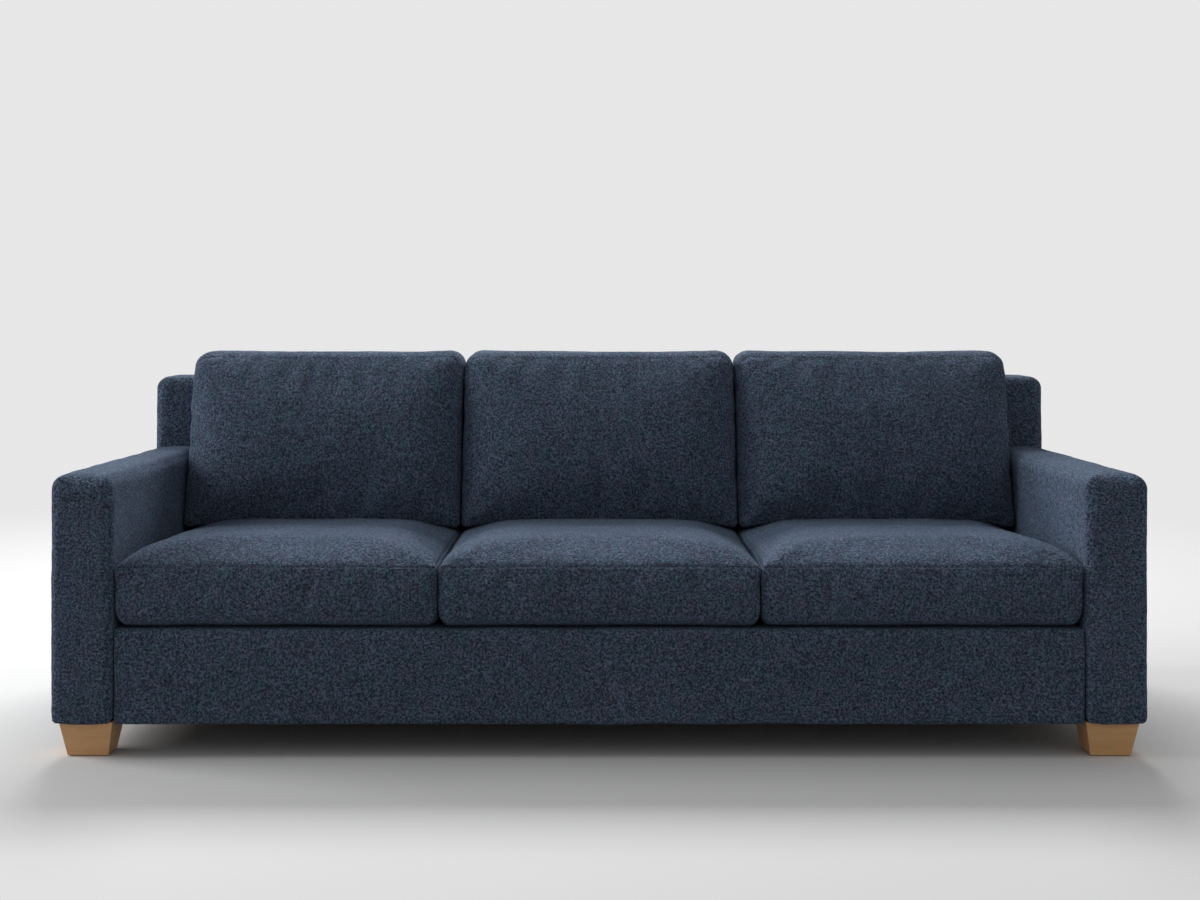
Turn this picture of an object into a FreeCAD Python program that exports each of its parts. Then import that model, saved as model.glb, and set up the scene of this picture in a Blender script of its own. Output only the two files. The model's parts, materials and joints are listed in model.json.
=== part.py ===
import FreeCAD, Part
import math
import os

# A three-seat upholstered sofa with straight arms: hardwood frame, zigzag seat springs,
# padding, fabric covers, six loose cushions and tapered wooden feet.
# Millimetres. X runs along the sofa, Y from front to back and Z up. The origin is on the
# floor under the middle of the sofa. Left and right are as seen from the front.

# Overall sizes
sofa_width = 2410.0
sofa_depth = 940.0
sofa_height = 884.0
seat_names = ["left", "centre", "right"]
arm_width = 138.0
arm_height = 624.0
back_height = 817.0
back_depth = 156.0
base_height = 78.0
deck_height = 283.0
unit_gap = 1.0

# Upholstery layers
cover_thickness = 2.0
cover_gap = 0.3
arm_padding_thickness = 14.0
back_padding_thickness = 14.0
border_padding_thickness = 10.0
arm_edge_radius = 24.0
back_edge_radius = 28.0
border_edge_radius = 9.0
underside_edge_radius = 9.0
border_setback = 9.0
border_return = 70.0
staple_margin = 22.0
dust_cover_thickness = 1.0

# Timber frame
arm_post_thickness = 32.0
arm_bottom_rail_height = 60.0
arm_top_rail_height = 28.0
back_post_width = 45.0
back_bottom_rail_height = 90.0
back_top_rail_height = 45.0
seat_rail_thickness = 30.0
stretcher_width = 45.0
stretcher_height = 90.0
corner_block_leg = 90.0
corner_block_height = 60.0
corner_block_drop = 20.0

# Seat springs, their clips, the deck over them and the webbing in the back
springs_per_seat = 4
spring_wire = 4.0
spring_width = 60.0
spring_pitch = 44.0
clip_length = 18.0
clip_depth = 20.0
clip_height = 8.0
clip_bore_clearance = 0.2
deck_pad_thickness = 10.0
straps_per_seat = 3
strap_width = 60.0
strap_thickness = 2.0

# Feet, their bolts, nuts and glides
foot_top_width = 117.0
foot_top_depth = 94.0
foot_bottom_width = 89.0
foot_bottom_depth = 64.0
foot_outer_inset = 18.0
foot_setback = 15.0
centre_foot_width = 64.0
glide_diameter = 34.0
glide_thickness = 2.0
bolt_diameter = 8.0
bolt_clearance = 0.2
foot_bolt_depth = 40.0
nut_flange_diameter = 22.0
nut_flange_thickness = 1.6
nut_barrel_diameter = 11.0
nut_barrel_length = 10.0
nut_bolt_clearance = 0.05

# Lag bolts that join the arms, seat frame and back
lag_engagement = 60.0
lag_head_flats = 13.0
lag_head_height = 5.5
lag_end_margin = 80.0

# Seat cushions
cushion_gap = 3.0
cushion_rest_gap = 0.5
core_gap = 0.6
seat_cushion_setback = 10.0
seat_edge_height = 137.0
seat_crown = 36.0
seat_crown_fullness = 4.5
seat_corner_radius = 26.0
seat_lower_edge_radius = 22.0
seat_front_draw = 4.0
seat_side_draw = 3.0

# Back cushions
back_cushion_top_thickness = 130.0
back_cushion_bottom_thickness = 234.0
back_cushion_crown = 26.0
back_cushion_crown_fullness = 3.0
back_cushion_upper_radius = 38.0
back_cushion_lower_radius = 26.0
back_cushion_edge_radius = 28.0
back_cushion_side_draw = 4.0
back_cushion_top_draw = 3.0
back_cushion_shoulder = 160.0
back_cushion_lift = 3.0

# Zips in the rear of each cushion cover
zip_end_margin = 75.0
zip_tape_height = 24.0
zip_tape_thickness = 0.6
zip_coil_height = 5.0
zip_coil_depth = 1.6
zip_clearance = 0.3
zip_rear_clearance = 0.7
slider_length = 14.0
slider_wall = 1.0
pull_length = 26.0
pull_width = 8.0
pull_thickness = 0.8
back_zip_height = 110.0

# Places that follow from the sizes above
half_width = sofa_width / 2
front_y = -sofa_depth / 2
rear_y = sofa_depth / 2
back_front_y = rear_y - back_depth
arm_rear_y = back_front_y - unit_gap
inner_half = half_width - arm_width
base_half = inner_half - unit_gap
seat_count = len(seat_names)
seat_pitch = 2 * inner_half / seat_count
seat_centres = [(index - (seat_count - 1) / 2) * seat_pitch for index in range(seat_count)]

border_front_y = front_y + border_setback
border_rear_y = border_front_y + border_return
rail_front_y = border_front_y + cover_thickness + cover_gap + border_padding_thickness
rail_rear_y = back_front_y - unit_gap
rail_bottom = base_height + cover_thickness
deck_pad_top = deck_height - cover_thickness
clip_top = deck_pad_top - deck_pad_thickness
rail_top = clip_top - clip_height
spring_z = rail_top + clip_height / 2

arm_frame_inset = cover_thickness + cover_gap + arm_padding_thickness
arm_frame_bottom = base_height + cover_thickness + cover_gap
arm_frame_top = arm_height - arm_frame_inset
arm_frame_front = front_y + arm_frame_inset
arm_frame_rear = arm_rear_y - arm_frame_inset
arm_frame_inner = inner_half + arm_frame_inset
arm_frame_outer = half_width - arm_frame_inset

back_frame_inset = cover_thickness + cover_gap + back_padding_thickness
back_frame_front = back_front_y + back_frame_inset + strap_thickness
back_frame_rear = rear_y - back_frame_inset
back_frame_half = half_width - back_frame_inset
back_frame_top = back_height - back_frame_inset

stretcher_centres = [-seat_pitch / 2, 0.0, seat_pitch / 2]

seat_half = seat_pitch / 2 - cushion_gap / 2
seat_bottom = deck_height + cushion_rest_gap
seat_seam = seat_bottom + seat_edge_height
seat_front_y = front_y + seat_cushion_setback
zip_stack = zip_tape_thickness + zip_clearance + zip_coil_depth + slider_wall + pull_thickness
cushion_rear_y = back_front_y - zip_stack - zip_rear_clearance
zip_half = seat_half - zip_end_margin

# Shares of the way from a cushion's edge to its middle at which its crown is drawn
crown_steps = [0.0, 0.05, 0.12, 0.22, 0.36, 0.55, 0.82]
edge_angles = [0.0, 30.0, 60.0, 90.0]

# Two coordinates nearer than this are the same
same_place = 0.001


def vector(x, y, z):
    return FreeCAD.Vector(x, y, z)


def box(x0, x1, y0, y1, z0, z1):
    return Part.makeBox(x1 - x0, y1 - y0, z1 - z0, vector(x0, y0, z0))


def sided_box(side, inner, outer, y0, y1, z0, z1):
    """A box between two distances from the middle, on the left (-1) or right (1)."""
    return box(min(side * inner, side * outer), max(side * inner, side * outer), y0, y1, z0, z1)


def cut_all(shape, tools):
    """Cuts the tools that reach the shape out of it."""
    for tool in tools:
        if shape.BoundBox.intersect(tool.BoundBox):
            shape = shape.cut(tool)
    return shape


def export(name, shapes):
    """Writes one named piece, or a group of alike pieces."""
    shape = shapes if isinstance(shapes, Part.Shape) else Part.makeCompound(shapes)
    print(name, len(shape.Solids), "solids", round(shape.Volume), shape.isValid())
    shape.exportStep("parts/" + name + ".step")


def upholstered_block(bounds, inset, edge_radius, lower_radius, flat_rear):
    """A block with soft edges, drawn in on every face. flat_rear leaves the rear face's edges sharp."""
    x0, x1, y0, y1, z0, z1 = bounds
    block = box(x0 + inset, x1 - inset, y0 + inset, y1 - inset, z0 + inset, z1 - inset)
    low = z0 + inset
    rear = y1 - inset

    def on_rear(edge):
        return flat_rear and abs(edge.BoundBox.YMin - rear) < same_place

    def is_low(edge):
        return abs(edge.BoundBox.ZMax - low) < same_place

    upper = [edge for edge in block.Edges if not is_low(edge) and not on_rear(edge)]
    block = block.makeFillet(edge_radius - inset, upper)
    lower = [edge for edge in block.Edges if is_low(edge) and not on_rear(edge)]
    return block.makeFillet(lower_radius - inset, lower)


def bolt_rod(start, along, length, diameter):
    return Part.makeCylinder(diameter / 2, length, start, along)


def hexagon_head(start, along, flats, height):
    """A six-sided bolt head whose face is at start and which stands away from the bolt."""
    corner_radius = flats / math.sqrt(3)
    points = []
    for corner in range(7):
        turn = math.radians(60 * corner)
        points.append(vector(corner_radius * math.cos(turn), corner_radius * math.sin(turn), 0))
    prism = Part.Face(Part.makePolygon(points)).extrude(vector(0, 0, height))
    prism.Placement = FreeCAD.Placement(start, FreeCAD.Rotation(vector(0, 0, 1), along * -1))
    return prism


# Feet

foot_x = half_width - foot_outer_inset - foot_top_width / 2
front_foot_y = front_y + foot_setback + foot_top_depth / 2
rear_foot_y = rear_y - foot_setback - foot_top_depth / 2
centre_foot_y = (rail_front_y + rail_rear_y) / 2
centre_foot_top = rail_bottom - dust_cover_thickness
foot_places = {
    "front_left_foot": (-foot_x, front_foot_y),
    "front_right_foot": (foot_x, front_foot_y),
    "rear_left_foot": (-foot_x, rear_foot_y),
    "rear_right_foot": (foot_x, rear_foot_y),
    "centre_support_foot": (0.0, centre_foot_y),
}
rail_tops_over_feet = {
    "front_left_foot": arm_frame_bottom + arm_bottom_rail_height,
    "front_right_foot": arm_frame_bottom + arm_bottom_rail_height,
    "rear_left_foot": arm_frame_bottom + back_bottom_rail_height,
    "rear_right_foot": arm_frame_bottom + back_bottom_rail_height,
    "centre_support_foot": rail_bottom + stretcher_height,
}


def foot_top(name):
    return centre_foot_top if name == "centre_support_foot" else base_height


def rectangle(x, y, z, width, depth):
    xs = [x - width / 2, x + width / 2]
    ys = [y - depth / 2, y + depth / 2]
    return Part.makePolygon([
        vector(xs[0], ys[0], z),
        vector(xs[1], ys[0], z),
        vector(xs[1], ys[1], z),
        vector(xs[0], ys[1], z),
        vector(xs[0], ys[0], z),
    ])


def foot(name):
    """A tapered block, or the plain square one in the middle, drilled for its bolt."""
    x, y = foot_places[name]
    top = foot_top(name)
    if name == "centre_support_foot":
        half = centre_foot_width / 2
        block = box(x - half, x + half, y - half, y + half, glide_thickness, top)
    else:
        lower = rectangle(x, y, glide_thickness, foot_bottom_width, foot_bottom_depth)
        upper = rectangle(x, y, top, foot_top_width, foot_top_depth)
        block = Part.makeLoft([lower, upper], True, True)
    return cut_all(block, foot_bolt_holes)


def foot_bolt(name, clearance):
    x, y = foot_places[name]
    low = foot_top(name) - foot_bolt_depth - clearance
    high = rail_tops_over_feet[name] + nut_flange_thickness
    return bolt_rod(vector(x, y, low), vector(0, 0, 1), high - low, bolt_diameter + 2 * clearance)


def tee_nut(name, clearance):
    """A flanged nut let into the top of the rail that the foot is bolted to."""
    x, y = foot_places[name]
    top = rail_tops_over_feet[name]
    up = vector(0, 0, 1)
    flange_height = nut_flange_thickness + clearance
    flange = bolt_rod(vector(x, y, top), up, flange_height, nut_flange_diameter + 2 * clearance)
    barrel_start = vector(x, y, top - nut_barrel_length - clearance)
    barrel_length = nut_barrel_length + clearance
    barrel = bolt_rod(barrel_start, up, barrel_length, nut_barrel_diameter + 2 * clearance)
    return flange.fuse(barrel)


foot_bolt_holes = [foot_bolt(name, bolt_clearance) for name in foot_places]
nut_recesses = [tee_nut(name, bolt_clearance) for name in foot_places]
foot_hardware = foot_bolt_holes + nut_recesses


def threaded_nut(name):
    bore = foot_bolt(name, nut_bolt_clearance)
    return tee_nut(name, 0.0).cut(bore).removeSplitter()


def glide(name):
    x, y = foot_places[name]
    return bolt_rod(vector(x, y, 0), vector(0, 0, 1), glide_thickness, glide_diameter)


# Lag bolts: seat frame to arms, seat frame to back, and arms to back

arm_lag_z = arm_frame_bottom + arm_bottom_rail_height / 2
back_lag_z = arm_frame_bottom + back_bottom_rail_height / 2
side_rail_front = rail_front_y + seat_rail_thickness
side_rail_rear = rail_rear_y - seat_rail_thickness
arm_lag_ys = [
    side_rail_front + lag_end_margin,
    (side_rail_front + side_rail_rear) / 2,
    side_rail_rear - lag_end_margin,
]
support_xs = [-base_half] + stretcher_centres + [base_half]
back_lag_xs = [(support_xs[i] + support_xs[i + 1]) / 2 for i in range(len(support_xs) - 1)]
arm_post_bottom = arm_frame_bottom + arm_bottom_rail_height
arm_post_top = arm_frame_top - arm_top_rail_height
arm_to_back_x = back_frame_half - back_post_width / 2
arm_to_back_zs = [arm_post_bottom + lag_end_margin, arm_post_top - lag_end_margin]


def lag_places():
    """Where each lag bolt's head seats, the way it points and how long it is."""
    places = []
    to_arm = seat_rail_thickness + unit_gap + arm_frame_inset + lag_engagement
    to_back = seat_rail_thickness + unit_gap + back_frame_inset + strap_thickness + lag_engagement
    arm_to_back = arm_post_thickness + arm_frame_inset + unit_gap
    arm_to_back += back_frame_inset + strap_thickness + lag_engagement
    for side in (-1, 1):
        for y in arm_lag_ys:
            start = vector(side * (base_half - seat_rail_thickness), y, arm_lag_z)
            places.append((start, vector(side, 0, 0), to_arm))
        for z in arm_to_back_zs:
            start = vector(side * arm_to_back_x, arm_frame_rear - arm_post_thickness, z)
            places.append((start, vector(0, 1, 0), arm_to_back))
    for x in back_lag_xs:
        start = vector(x, side_rail_rear, back_lag_z)
        places.append((start, vector(0, 1, 0), to_back))
    return places


def lag_bolts():
    bolts = []
    for start, along, length in lag_places():
        shank = bolt_rod(start, along, length, bolt_diameter)
        head = hexagon_head(start, along, lag_head_flats, lag_head_height)
        bolts.append(shank.fuse(head).removeSplitter())
    return bolts


lag_holes = [
    bolt_rod(start, along, length + bolt_clearance, bolt_diameter + 2 * bolt_clearance)
    for start, along, length in lag_places()
]
drillings = foot_hardware + lag_holes


# Arms

def arm_bounds(side):
    x0 = min(side * inner_half, side * half_width)
    x1 = max(side * inner_half, side * half_width)
    return (x0, x1, front_y, arm_rear_y, base_height, arm_height)


def arm_block(side, inset):
    return upholstered_block(arm_bounds(side), inset, arm_edge_radius, underside_edge_radius, True)


def arm_frame_space(side):
    """The space inside an arm's padding, open at the bottom."""
    return sided_box(side, arm_frame_inner, arm_frame_outer,
                     arm_frame_front, arm_frame_rear, base_height, arm_frame_top)


def arm_cover(side):
    shell = arm_block(side, 0.0).cut(arm_block(side, cover_thickness))
    opening = sided_box(side, inner_half + staple_margin, half_width - staple_margin,
                        front_y + staple_margin, arm_rear_y - staple_margin,
                        base_height, arm_frame_bottom)
    return cut_all(shell.cut(opening), lag_holes)


def arm_padding(side):
    block = arm_block(side, cover_thickness + cover_gap)
    return cut_all(block.cut(arm_frame_space(side)), lag_holes)


def arm_timber(side, y0, y1, z0, z1):
    return cut_all(sided_box(side, arm_frame_inner, arm_frame_outer, y0, y1, z0, z1), drillings)


def export_arm(name, side):
    export(name + "_arm_bottom_rail",
           arm_timber(side, arm_frame_front, arm_frame_rear, arm_frame_bottom, arm_post_bottom))
    export(name + "_arm_top_rail",
           arm_timber(side, arm_frame_front, arm_frame_rear, arm_post_top, arm_frame_top))
    export(name + "_arm_front_post",
           arm_timber(side, arm_frame_front, arm_frame_front + arm_post_thickness,
                      arm_post_bottom, arm_post_top))
    export(name + "_arm_rear_post",
           arm_timber(side, arm_frame_rear - arm_post_thickness, arm_frame_rear,
                      arm_post_bottom, arm_post_top))
    export(name + "_arm_padding", arm_padding(side))
    export(name + "_arm_cover", arm_cover(side))


# Back

back_bounds = (-half_width, half_width, back_front_y, rear_y, base_height, back_height)
back_post_bottom = arm_frame_bottom + back_bottom_rail_height
back_post_top = back_frame_top - back_top_rail_height


def back_block(inset):
    return upholstered_block(back_bounds, inset, back_edge_radius, underside_edge_radius, False)


def back_cover():
    shell = back_block(0.0).cut(back_block(cover_thickness))
    opening = box(-half_width + staple_margin, half_width - staple_margin,
                  back_front_y + staple_margin, rear_y - staple_margin,
                  base_height, arm_frame_bottom)
    return cut_all(shell.cut(opening), lag_holes)


def back_padding():
    space = box(-back_frame_half, back_frame_half, back_frame_front - strap_thickness,
                back_frame_rear, base_height, back_frame_top)
    block = back_block(cover_thickness + cover_gap)
    return cut_all(block.cut(space), lag_holes)


def back_timber(x0, x1, z0, z1):
    return cut_all(box(x0, x1, back_frame_front, back_frame_rear, z0, z1), drillings)


def back_uprights():
    """The posts between the seats."""
    uprights = []
    for left, right in zip(seat_centres, seat_centres[1:]):
        x = (left + right) / 2
        uprights.append(back_timber(x - back_post_width / 2, x + back_post_width / 2,
                                    back_post_bottom, back_post_top))
    return uprights


def back_straps():
    """Webbing stretched from the bottom rail to the top rail behind each back cushion."""
    straps = []
    strap_pitch = seat_pitch / straps_per_seat
    for centre in seat_centres:
        for index in range(straps_per_seat):
            x = centre + (index - (straps_per_seat - 1) / 2) * strap_pitch
            strap = box(x - strap_width / 2, x + strap_width / 2,
                        back_frame_front - strap_thickness, back_frame_front,
                        arm_frame_bottom, back_frame_top)
            straps.append(cut_all(strap, lag_holes))
    return straps


def export_back():
    export("back_bottom_rail",
           back_timber(-back_frame_half, back_frame_half, arm_frame_bottom, back_post_bottom))
    export("back_top_rail",
           back_timber(-back_frame_half, back_frame_half, back_post_top, back_frame_top))
    export("back_left_post",
           back_timber(-back_frame_half, -back_frame_half + back_post_width,
                       back_post_bottom, back_post_top))
    export("back_right_post",
           back_timber(back_frame_half - back_post_width, back_frame_half,
                       back_post_bottom, back_post_top))
    export("back_uprights", back_uprights())
    export("back_webbing", back_straps())
    export("back_padding", back_padding())
    export("back_cover", back_cover())


# Seat base

def seat_timber(x0, x1, y0, y1, z0, z1):
    return cut_all(box(x0, x1, y0, y1, z0, z1), drillings)


def stretchers():
    return [
        seat_timber(x - stretcher_width / 2, x + stretcher_width / 2,
                    side_rail_front, side_rail_rear, rail_bottom, rail_bottom + stretcher_height)
        for x in stretcher_centres
    ]


def corner_blocks():
    """Triangular glue blocks in the four inner corners of the seat frame."""
    blocks = []
    corner_x = base_half - seat_rail_thickness
    top = rail_top - corner_block_drop
    for side in (-1, 1):
        for y, way in ((side_rail_front, 1), (side_rail_rear, -1)):
            corner = vector(side * corner_x, y, top - corner_block_height)
            along_x = corner + vector(-side * corner_block_leg, 0, 0)
            along_y = corner + vector(0, way * corner_block_leg, 0)
            face = Part.Face(Part.makePolygon([corner, along_x, along_y, corner]))
            blocks.append(face.extrude(vector(0, 0, corner_block_height)))
    return blocks


front_clip_y = rail_front_y + seat_rail_thickness / 2
rear_clip_y = rail_rear_y - seat_rail_thickness / 2
spring_xs = [
    centre + (index - (springs_per_seat - 1) / 2) * seat_pitch / springs_per_seat
    for centre in seat_centres
    for index in range(springs_per_seat)
]


def zigzag_spring(x):
    """One wire spring: runs across the seat joined by half turns, from clip to clip."""
    run_count = 2 * round((rear_clip_y - front_clip_y) / spring_pitch / 2) + 1
    pitch = (rear_clip_y - front_clip_y) / (run_count - 1)
    turn_radius = pitch / 2
    run_half = spring_width / 2 - turn_radius
    edges = []
    for run in range(run_count):
        way = 1 if run % 2 == 0 else -1
        y = front_clip_y + run * pitch
        start = vector(x - way * run_half, y, spring_z)
        end = vector(x + way * run_half, y, spring_z)
        edges.append(Part.makeLine(start, end))
        if run < run_count - 1:
            middle = vector(x + way * (run_half + turn_radius), y + turn_radius, spring_z)
            quarter = turn_radius * math.sqrt(0.5)
            first = vector(x + way * (run_half + quarter), y + turn_radius - quarter, spring_z)
            second = vector(x + way * (run_half + quarter), y + turn_radius + quarter, spring_z)
            next_start = vector(end.x, y + pitch, spring_z)
            edges.append(Part.Arc(end, first, middle).toShape())
            edges.append(Part.Arc(middle, second, next_start).toShape())
    path = Part.Wire(edges)
    begin = path.OrderedVertexes[0].Point
    section = Part.Wire(Part.makeCircle(spring_wire / 2, begin, vector(1, 0, 0)))
    return path.makePipeShell([section], True, False)


def spring_clips():
    """Blocks on the front and rear rails that each hold one end of a spring."""
    clips = []
    for x in spring_xs:
        for y in (front_clip_y, rear_clip_y):
            clip = box(x - clip_length / 2, x + clip_length / 2,
                       y - clip_depth / 2, y + clip_depth / 2, rail_top, clip_top)
            bore = bolt_rod(vector(x - clip_length / 2, y, spring_z), vector(1, 0, 0),
                            clip_length, spring_wire + 2 * clip_bore_clearance)
            clips.append(clip.cut(bore))
    return clips


def border_block(inset):
    """The front border as a block, drawn in by inset, with its two long front edges rounded."""
    front = border_front_y + inset
    block = box(-base_half, base_half, front, border_rear_y, base_height + inset, deck_height - inset)
    edges = [
        edge for edge in block.Edges
        if edge.BoundBox.XLength > base_half and abs(edge.BoundBox.YMax - front) < same_place
    ]
    return block.makeFillet(border_edge_radius - inset, edges)


def border_cover():
    """Fabric over the front rail, turned back over the deck and under the rail."""
    return border_block(0.0).cut(border_block(cover_thickness))


def export_seat_base():
    export("front_rail", seat_timber(-base_half, base_half, rail_front_y, side_rail_front,
                                     rail_bottom, rail_top))
    export("rear_rail", seat_timber(-base_half, base_half, side_rail_rear, rail_rear_y,
                                    rail_bottom, rail_top))
    for name, side in (("left", -1), ("right", 1)):
        rail = sided_box(side, base_half - seat_rail_thickness, base_half,
                         side_rail_front, side_rail_rear, rail_bottom, rail_top)
        export(name + "_side_rail", cut_all(rail, drillings))
    export("seat_stretchers", stretchers())
    export("corner_blocks", corner_blocks())
    export("seat_springs", [zigzag_spring(x) for x in spring_xs])
    export("spring_clips", spring_clips())
    export("deck_pad", box(-base_half, base_half, rail_front_y, rail_rear_y, clip_top, deck_pad_top))
    export("deck_cloth", box(-base_half, base_half, border_rear_y, rail_rear_y,
                             deck_pad_top, deck_height))
    export("front_border_padding",
           box(-base_half, base_half, rail_front_y - border_padding_thickness, rail_front_y,
               base_height + border_edge_radius, deck_height - border_edge_radius))
    export("front_border_cover", border_cover())
    dust_cover = box(-base_half, base_half, border_rear_y, rail_rear_y,
                     rail_bottom - dust_cover_thickness, rail_bottom)
    export("dust_cover", cut_all(dust_cover, foot_bolt_holes))


# Cushions

def arc(start, middle, end):
    return Part.Arc(start, middle, end).toShape()


def bowed_side(place, half, level, draw):
    """A side from left to right whose middle is drawn away from its level, or a straight one."""
    start = place(-half, level)
    end = place(half, level)
    if draw == 0:
        return [Part.makeLine(start, end)]
    return [arc(start, place(0, level + draw), end)]


def hollow_side(place, half, level, rise):
    """A side from left to right, raised in the middle, with an arc down to each corner."""
    full_run = back_cushion_shoulder - back_cushion_lower_radius
    run = full_run * half / (seat_half - back_cushion_lower_radius)
    radius = (run ** 2 + rise ** 2) / (2 * rise)
    turn = math.asin(run / radius) / 2
    flat_half = half - run
    top = level + rise
    across = flat_half + radius * math.sin(turn)
    down = top - radius * (1 - math.cos(turn))
    return [
        arc(place(-half, level), place(-across, down), place(-flat_half, top)),
        Part.makeLine(place(-flat_half, top), place(flat_half, top)),
        arc(place(flat_half, top), place(across, down), place(half, level)),
    ]


def ring(place, half, low, high, radii, side_draw, low_side, high_side):
    """A rounded rectangle whose upright sides bow inwards. place(u, v) gives the point in space."""
    low_radius, high_radius = radii
    low_nook = low_radius * (1 - math.sqrt(0.5))
    high_nook = high_radius * (1 - math.sqrt(0.5))
    middle = (low + high) / 2
    edges = low_side + high_side
    for side in (-1, 1):
        low_end = place(side * half, low + low_radius)
        high_end = place(side * half, high - high_radius)
        edges.append(arc(place(side * (half - low_radius), low),
                         place(side * (half - low_nook), low + low_nook), low_end))
        edges.append(arc(low_end, place(side * (half - side_draw), middle), high_end))
        edges.append(arc(high_end, place(side * (half - high_nook), high - high_nook),
                         place(side * (half - high_radius), high)))
    return Part.Wire(Part.sortEdges(edges)[0])


def crown_rise(crown, fullness, share):
    """The height of a crown at a share of the way from the edge to the middle."""
    return crown * (1 - (1 - share) ** fullness)


def seat_form(centre, inset):
    """A seat cushion: flat below, upright sides drawn in at their middles, crowned on top."""
    half = seat_half - inset
    low = seat_front_y + inset
    high = cushion_rear_y - inset
    bottom = seat_bottom + inset
    height = seat_edge_height - 2 * inset
    radius = seat_corner_radius - inset
    lower = seat_lower_edge_radius - inset
    reach = min(half, (high - low) / 2)
    levels = []
    for angle in edge_angles:
        turn = math.radians(angle)
        levels.append((lower * (1 - math.sin(turn)), bottom + lower * (1 - math.cos(turn))))
    for share in crown_steps:
        narrowing = share * (reach - radius)
        rise = crown_rise(seat_crown, seat_crown_fullness, narrowing / reach)
        levels.append((narrowing, bottom + height + rise))
    rings = []
    for narrowing, z in levels:
        straight_half = half - narrowing - radius
        slack = (straight_half / (half - radius)) ** 2

        def place(u, v, z=z):
            return vector(centre + u, v, z)

        front = bowed_side(place, straight_half, low + narrowing, seat_front_draw * slack)
        rear = bowed_side(place, straight_half, high - narrowing, 0)
        rings.append(ring(place, half - narrowing, low + narrowing, high - narrowing,
                          (radius, radius), seat_side_draw * slack, front, rear))
    return Part.makeLoft(rings, True, True)


# The underside of a back cushion follows the crown of the seat cushion below it
seat_rise_at_corner = crown_rise(seat_crown, seat_crown_fullness,
                                 back_cushion_lower_radius / seat_half)
back_cushion_hollow = seat_crown - seat_rise_at_corner
back_cushion_bottom = seat_seam + seat_rise_at_corner + back_cushion_lift


def back_form(centre, inset):
    """A wedge-shaped back cushion: upright flat rear, leaning crowned front, hollow underside."""
    half = seat_half - inset
    bottom = back_cushion_bottom + inset
    height = sofa_height - back_cushion_bottom - 2 * inset
    lean_run = back_cushion_bottom_thickness - back_cushion_top_thickness
    front_height = math.hypot(lean_run, height)
    lean_sine = lean_run / front_height
    lean_cosine = height / front_height
    rear = cushion_rear_y - inset
    front_foot = cushion_rear_y - back_cushion_bottom_thickness + inset
    lower = back_cushion_lower_radius - inset
    upper = back_cushion_upper_radius - inset
    edge = back_cushion_edge_radius - inset
    reach = min(half, height / 2)

    def rear_place(offset):
        return lambda u, v: vector(centre + u, rear - offset, bottom + v)

    def front_place(offset):
        return lambda u, v: vector(centre + u, front_foot + v * lean_sine - offset,
                                   bottom + v * lean_cosine)

    layers = []
    for angle in edge_angles:
        turn = math.radians(angle)
        narrowing = edge * (1 - math.sin(turn))
        layers.append((rear_place(edge * (1 - math.cos(turn))), narrowing, height))
    for angle in reversed(edge_angles):
        turn = math.radians(angle)
        narrowing = edge * (1 - math.sin(turn))
        rise = crown_rise(back_cushion_crown, back_cushion_crown_fullness, narrowing / reach)
        offset = rise - edge * (1 - math.cos(turn))
        layers.append((front_place(offset), narrowing, front_height))
    for share in crown_steps:
        narrowing = share * (reach - upper)
        if narrowing > edge:
            rise = crown_rise(back_cushion_crown, back_cushion_crown_fullness, narrowing / reach)
            layers.append((front_place(rise), narrowing, front_height))
    rings = []
    for place, narrowing, length in layers:
        ring_half = half - narrowing
        slack = ((ring_half - upper) / (half - upper)) ** 2
        top = length - narrowing
        low_side = hollow_side(place, ring_half - lower, narrowing, back_cushion_hollow * slack)
        high_side = bowed_side(place, ring_half - upper, top, -back_cushion_top_draw * slack)
        rings.append(ring(place, ring_half, narrowing, top, (lower, upper),
                          back_cushion_side_draw * slack, low_side, high_side))
    return Part.makeLoft(rings, True, True)


def zip_chain(centre, rear, z):
    """The zip's tape and coil, sewn to the rear of a cover."""
    x0 = centre - zip_half
    x1 = centre + zip_half
    tape = box(x0, x1, rear - cover_thickness / 2, rear + zip_tape_thickness,
               z - zip_tape_height / 2, z + zip_tape_height / 2)
    coil = box(x0, x1, rear, rear + zip_tape_thickness + zip_coil_depth,
               z - zip_coil_height / 2, z + zip_coil_height / 2)
    return tape.fuse(coil)


def zip_slider(centre, rear, z):
    """The slider astride the coil at the closed end, with its pull hanging down."""
    x0 = centre - zip_half
    x1 = x0 + slider_length
    base = rear + zip_tape_thickness + zip_clearance
    roof = base + zip_coil_depth + slider_wall
    half_groove = zip_coil_height / 2 + zip_clearance
    half_height = half_groove + slider_wall
    body = box(x0, x1, base, roof, z - half_height, z + half_height)
    groove = box(x0, x1, base, base + zip_coil_depth, z - half_groove, z + half_groove)
    middle = (x0 + x1) / 2
    pull = box(middle - pull_width / 2, middle + pull_width / 2, roof, roof + pull_thickness,
               z - pull_length, z)
    return body.cut(groove).fuse(pull).removeSplitter()


def export_cushion(name, form, centre, rear, zip_z):
    cover = form(centre, 0.0).cut(form(centre, cover_thickness))
    export(name + "_cover", cover.fuse(zip_chain(centre, rear, zip_z)))
    export(name + "_core", form(centre, cover_thickness + core_gap))
    export(name + "_zip_slider", zip_slider(centre, rear, zip_z))


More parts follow.
